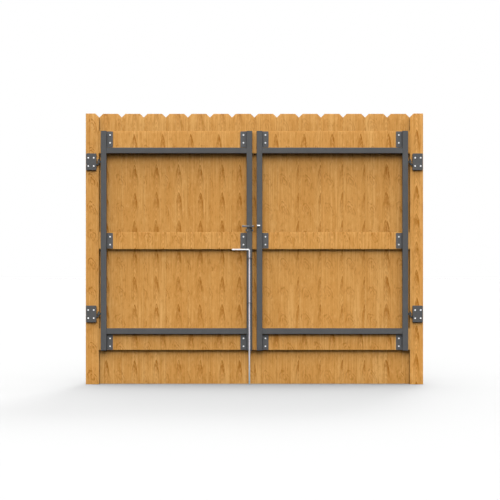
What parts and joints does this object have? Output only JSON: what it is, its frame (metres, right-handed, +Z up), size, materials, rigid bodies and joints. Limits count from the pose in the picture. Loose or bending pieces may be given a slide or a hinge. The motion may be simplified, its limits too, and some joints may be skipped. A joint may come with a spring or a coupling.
{
  "type": "double swing gate",
  "caption": "Double swing gate: dog-eared wooden picket leaves on square steel tube frames, hung on lift-off pintle hinges between timber posts, with a slide-bolt latch and a drop rod",
  "frame": {"origin": "middle of the left post's foot, at ground level", "axes": "X to the right along the fence line as seen from the framed side, Y away from that viewer, Z up"},
  "size_m": [2.278, 0.1516, 1.829],
  "materials": {
    "post_timber": "oiled sawn timber",
    "rail_timber": "oiled planed timber",
    "picket_timber": "oiled planed timber",
    "frame_steel": "dark grey powder coat",
    "zinc_steel": "bright zinc plate"
  },
  "bodies": {
    "posts": {"left_post": "post_timber", "left_upper_hinge_bracket": "frame_steel", "left_lower_hinge_bracket": "frame_steel", "right_post": "post_timber", "right_upper_hinge_bracket": "frame_steel", "right_lower_hinge_bracket": "frame_steel"},
    "left_leaf": {"left_hinge_stile": "frame_steel", "left_meeting_stile": "frame_steel", "left_top_crossbar": "frame_steel", "left_bottom_crossbar": "frame_steel", "left_hinge_stile_tabs": "frame_steel", "left_meeting_stile_tabs": "frame_steel", "left_hinge_eyes": "frame_steel", "left_top_rail": "rail_timber", "left_middle_rail": "rail_timber", "left_bottom_rail": "rail_timber", "left_picket_1": "picket_timber", "left_picket_2": "picket_timber", "left_picket_3": "picket_timber", "left_picket_4": "picket_timber", "left_picket_5": "picket_timber", "left_picket_6": "picket_timber", "left_picket_7": "picket_timber", "latch_body": "frame_steel", "drop_rod_guides": "frame_steel"},
    "right_leaf": {"right_hinge_stile": "frame_steel", "right_meeting_stile": "frame_steel", "right_top_crossbar": "frame_steel", "right_bottom_crossbar": "frame_steel", "right_hinge_stile_tabs": "frame_steel", "right_meeting_stile_tabs": "frame_steel", "right_hinge_eyes": "frame_steel", "right_top_rail": "rail_timber", "right_middle_rail": "rail_timber", "right_bottom_rail": "rail_timber", "right_picket_1": "picket_timber", "right_picket_2": "picket_timber", "right_picket_3": "picket_timber", "right_picket_4": "picket_timber", "right_picket_5": "picket_timber", "right_picket_6": "picket_timber", "right_picket_7": "picket_timber", "latch_keeper": "zinc_steel"},
    "latch_bolt": {"latch_bolt": "frame_steel"},
    "drop_rod": {"drop_rod": "zinc_steel"}
  },
  "joints": [
    {"name": "left_leaf_swing", "type": "hinge", "parent": "posts", "child": "left_leaf", "pos_m": [0.0445, -0.0605, 1], "axis": [0, 0, -1], "range_deg": [0, 90]},
    {"name": "right_leaf_swing", "type": "hinge", "parent": "posts", "child": "right_leaf", "pos_m": [2.1445, -0.0605, 1], "axis": [0, 0, 1], "range_deg": [0, 90]},
    {"name": "latch_bolt_slide", "type": "slide", "parent": "left_leaf", "child": "latch_bolt", "axis": [1, 0, 0], "range_m": [0, 0.036]},
    {"name": "drop_rod_lift", "type": "slide", "parent": "left_leaf", "child": "drop_rod", "axis": [0, 0, 1], "range_m": [0, 0.1]}
  ]
}
